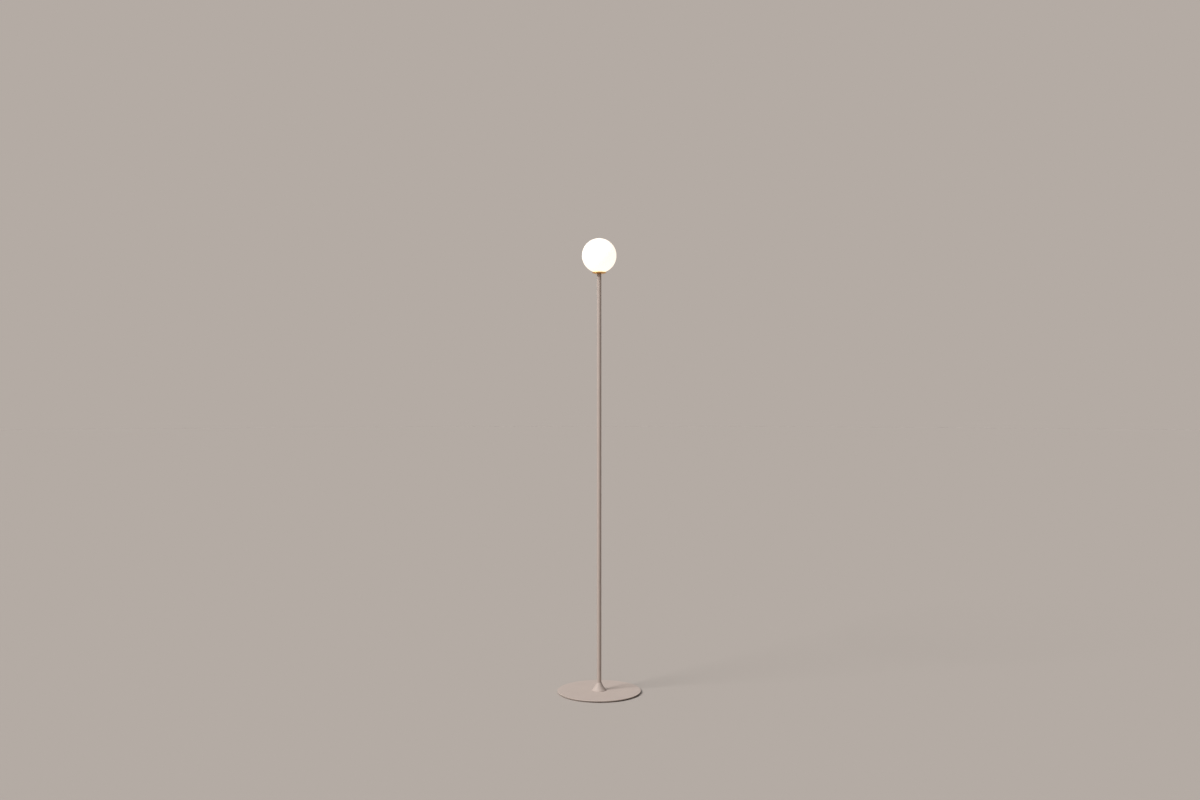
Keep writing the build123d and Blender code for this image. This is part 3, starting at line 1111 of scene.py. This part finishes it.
class LAMP_OT_holder_threads(bpy.types.Operator):
    """Make the thread on the lampholder's sleeve, and the threaded tube that clamps the head together"""

    bl_idname = "lamp.holder_threads"
    bl_label = "Threads of the lampholder"

    def execute(self, context):
        sizes = context.scene.lamp_sizes
        sleeve_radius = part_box("holder_sleeve")[1].x
        neck_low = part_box("globe_glass")[0].z
        # Half a pitch under the bead of the globe's neck, so that the two mesh.
        bead_height = neck_low + sizes.thread_start - sizes.thread_pitch / 2
        ridge = thread(
            "sleeve_thread",
            sleeve_radius + sizes.thread_proud,
            sizes.thread_pitch,
            sizes.sleeve_turns,
            sizes.thread_bead,
            bead_height,
            finish_of("holder_plastic"),
        )
        keep(ridge, "stand", "holder_plastic")

        zinc = finish_of("zinc_steel")
        low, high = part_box("threaded_tube")
        bead = 0.35 * MM
        pitch = 1.0 * MM
        end = 1.5 * MM
        bore = 3.75 * MM
        core = high.x - bead
        outline = [(bore, low.z), (core, low.z), (core, high.z), (bore, high.z)]
        tube = turned("tube_core", outline, sizes.small_segments, zinc)
        soften(tube, sizes.edge_soften)
        keep(tube, "stand", "zinc_steel", "threaded_tube")
        turns = (high.z - low.z - 2 * end) / pitch
        ridge = thread("tube_thread", core, pitch, turns, bead, low.z + end, zinc)
        keep(ridge, "stand", "zinc_steel")
        return {"FINISHED"}


class LAMP_OT_pads(bpy.types.Operator):
    """Make the rubber pads under the base"""

    bl_idname = "lamp.pads"
    bl_label = "Floor pads"

    def execute(self, context):
        sizes = context.scene.lamp_sizes
        rubber = finish_of("pad_rubber")
        low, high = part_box("floor_pads")
        radius = sizes.pad_radius
        edge = sizes.pad_edge_round
        outline = [(0, low.z)]
        outline += arc((radius - edge, low.z + edge), edge, -90, 0, steps=4)
        outline += [(radius, high.z), (0, high.z)]
        pads = turned("floor_pads_moulded", outline, sizes.small_segments, rubber)
        ring_of(pads, rubber, number=sizes.pad_count, radius=high.x - radius)
        keep(pads, "stand", "pad_rubber", "floor_pads")
        return {"FINISHED"}


class LAMP_OT_screws(bpy.types.Operator):
    """Make the socket screws of the flange, of the lead clamp and of the lampholder's insert"""

    bl_idname = "lamp.screws"
    bl_label = "Screws"

    def execute(self, context):
        zinc = finish_of("zinc_steel")
        low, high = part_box("flange_screws")
        screws = screw("flange_screws_set", FLANGE_SCREW, low.z, high.z)
        at_flange_screws(screws, zinc)
        keep(screws, "stand", "zinc_steel", "flange_screws")

        low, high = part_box("clamp_screws")
        screws = screw("clamp_screws_set", CLAMP_SCREW, low.z, high.z)
        at_clamp_screws(screws, zinc)
        keep(screws, "stand", "zinc_steel", "clamp_screws")

        low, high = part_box("insert_screws")
        screws = screw("insert_screws_set", INSERT_SCREW, high.z, low.z)
        ring_of(screws, zinc, number=2, radius=high.y - INSERT_SCREW.head_radius, first_angle=90)
        keep(screws, "stand", "zinc_steel", "insert_screws")
        return {"FINISHED"}


class LAMP_OT_bulb(bpy.types.Operator):
    """Make the frosted bulb and the chips on its board"""

    bl_idname = "lamp.bulb"
    bl_label = "Bulb"

    def execute(self, context):
        sizes = context.scene.lamp_sizes
        low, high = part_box("bulb_envelope")
        radius = high.x
        inner = radius - sizes.bulb_wall
        dome_foot = high.z - radius
        outline = arc((0, dome_foot), radius, 90, 0, steps=16)
        outline += [(radius, low.z), (inner, low.z)]
        outline += arc((0, dome_foot), inner, 0, 90, steps=16)
        outline[0] = (0, high.z)
        outline[-1] = (0, dome_foot + inner)
        envelope = turned("envelope_moulded", outline, sizes.small_segments, finish_of("bulb_plastic"))
        keep(envelope, "bulb", "bulb_plastic", "bulb_envelope")

        board_low, board_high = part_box("bulb_led_core")
        chip_half = 1.4 * MM
        chip_height = 0.5 * MM
        sides = 4
        rows = 5
        spacing = (board_high.z - board_low.z) / rows
        start = board_low.z + spacing / 2
        yellow = finish_of("led_phosphor")
        chips = block((0, -chip_half, start - chip_half), (chip_height, chip_half, start + chip_half))
        chips.name = "led_chips"
        soften(chips, chip_height / 3)
        grow(
            chips,
            tree_named("row_of_copies", row_tree),
            {"Count": rows, "Offset": (0, 0, spacing), "Material": yellow},
        )
        ring_of(chips, yellow, number=sides, radius=board_high.x)
        keep(chips, "bulb", "led_board")
        return {"FINISHED"}


class LAMP_OT_stage(bpy.types.Operator):
    """Set the floor, the soft lights and the camera"""

    bl_idname = "lamp.stage"
    bl_label = "Stage"

    def execute(self, context):
        scene = context.scene
        studio = scene.lamp_studio
        scene.view_settings.view_transform = "Standard"

        floor = new_piece("studio_floor", [], [], [])
        disc = bmesh.new()
        bmesh.ops.create_circle(disc, cap_ends=True, segments=96, radius=studio.floor_radius)
        disc.to_mesh(floor.data)
        disc.free()
        # Matt painted board: no gloss, so that it stays one even pale tone to the horizon.
        material, tree, _ = start_material("board_painted_matt")
        shader = add_node(tree, "ShaderNodeBsdfDiffuse", {}, {"Color": rgba(studio.floor)})
        add_node(tree, "ShaderNodeOutputMaterial", {}, {"Surface": shader.outputs["BSDF"]})
        floor.data.materials.append(material)

        world = bpy.data.worlds.new("studio_light")
        world.use_nodes = True
        tree = world.node_tree
        tree.nodes.clear()
        ray = add_node(tree, "ShaderNodeLightPath", {}, {}).outputs
        seen = add_node(
            tree,
            "ShaderNodeMath",
            {"operation": "MAXIMUM"},
            {0: ray["Is Camera Ray"], 1: ray["Is Glossy Ray"]},
        )
        shown = add_node(
            tree,
            "ShaderNodeMath",
            {"operation": "MAXIMUM"},
            {0: seen.outputs["Value"], 1: ray["Is Transmission Ray"]},
        )
        fill = add_node(tree, "ShaderNodeBackground", {}, {"Color": (1, 1, 1, 1), "Strength": studio.fill})
        backdrop = add_node(
            tree, "ShaderNodeBackground", {}, {"Color": rgba(studio.floor), "Strength": 1.0}
        )
        both = add_node(
            tree,
            "ShaderNodeMixShader",
            {},
            {0: shown.outputs["Value"], 1: fill.outputs["Background"], 2: backdrop.outputs["Background"]},
        )
        add_node(tree, "ShaderNodeOutputWorld", {}, {"Surface": both.outputs["Shader"]})
        scene.world = world

        lamps = (
            ("key", studio.key, studio.key_spread, (math.pi / 2 - studio.key_rise, 0, -studio.key_side)),
            ("overhead", studio.overhead, studio.overhead_spread, (0, 0, 0)),
        )
        for name, strength, spread, turn in lamps:
            lamp = bpy.data.lights.new(name, "SUN")
            lamp.energy = strength
            lamp.angle = spread
            hung = bpy.data.objects.new(name, lamp)
            hung.rotation_euler = turn
            scene.collection.objects.link(hung)

        lens = bpy.data.cameras.new("camera")
        lens.sensor_width = SENSOR_WIDTH
        lens.lens = studio.lens
        camera = bpy.data.objects.new("camera", lens)
        camera.location = (studio.camera_side, -studio.camera_distance, studio.camera_height)
        camera.rotation_euler = (math.pi / 2, 0, 0)
        scene.collection.objects.link(camera)
        scene.camera = camera
        return {"FINISHED"}


OPERATORS = (
    LAMP_OT_fittings,
    LAMP_OT_base,
    LAMP_OT_collar,
    LAMP_OT_stem,
    LAMP_OT_dish,
    LAMP_OT_globe,
    LAMP_OT_gasket,
    LAMP_OT_holder_threads,
    LAMP_OT_pads,
    LAMP_OT_screws,
    LAMP_OT_bulb,
    LAMP_OT_stage,
)

SETTINGS = {"lamp_sizes": LampSizes, "lamp_finish": LampFinish, "lamp_studio": LampStudio}


class LAMP_PT_floor_lamp(bpy.types.Panel):
    """Pieces, sizes, finishes and studio of the floor lamp"""

    bl_idname = "LAMP_PT_floor_lamp"
    bl_label = "Floor lamp"
    bl_space_type = "VIEW_3D"
    bl_region_type = "UI"
    bl_category = "Floor lamp"

    def draw(self, context):
        for made in OPERATORS:
            self.layout.operator(made.bl_idname)
        for name, group in SETTINGS.items():
            column = self.layout.column()
            for field in group.__annotations__:
                column.prop(getattr(context.scene, name), field)


def register():
    for group in SETTINGS.values():
        bpy.utils.register_class(group)
    for name, group in SETTINGS.items():
        setattr(bpy.types.Scene, name, bpy.props.PointerProperty(type=group))
    for made in (*OPERATORS, LAMP_PT_floor_lamp):
        bpy.utils.register_class(made)


def unregister():
    for made in (LAMP_PT_floor_lamp, *reversed(OPERATORS)):
        bpy.utils.unregister_class(made)
    for name in SETTINGS:
        delattr(bpy.types.Scene, name)
    for group in SETTINGS.values():
        bpy.utils.unregister_class(group)


def main():
    register()
    bpy.ops.lamp.fittings()
    bpy.ops.lamp.base()
    bpy.ops.lamp.collar()
    bpy.ops.lamp.stem()
    bpy.ops.lamp.dish()
    bpy.ops.lamp.globe()
    bpy.ops.lamp.gasket()
    bpy.ops.lamp.holder_threads()
    bpy.ops.lamp.pads()
    bpy.ops.lamp.screws()
    bpy.ops.lamp.bulb()
    bpy.ops.lamp.stage()


if __name__ == "__main__":
    main()
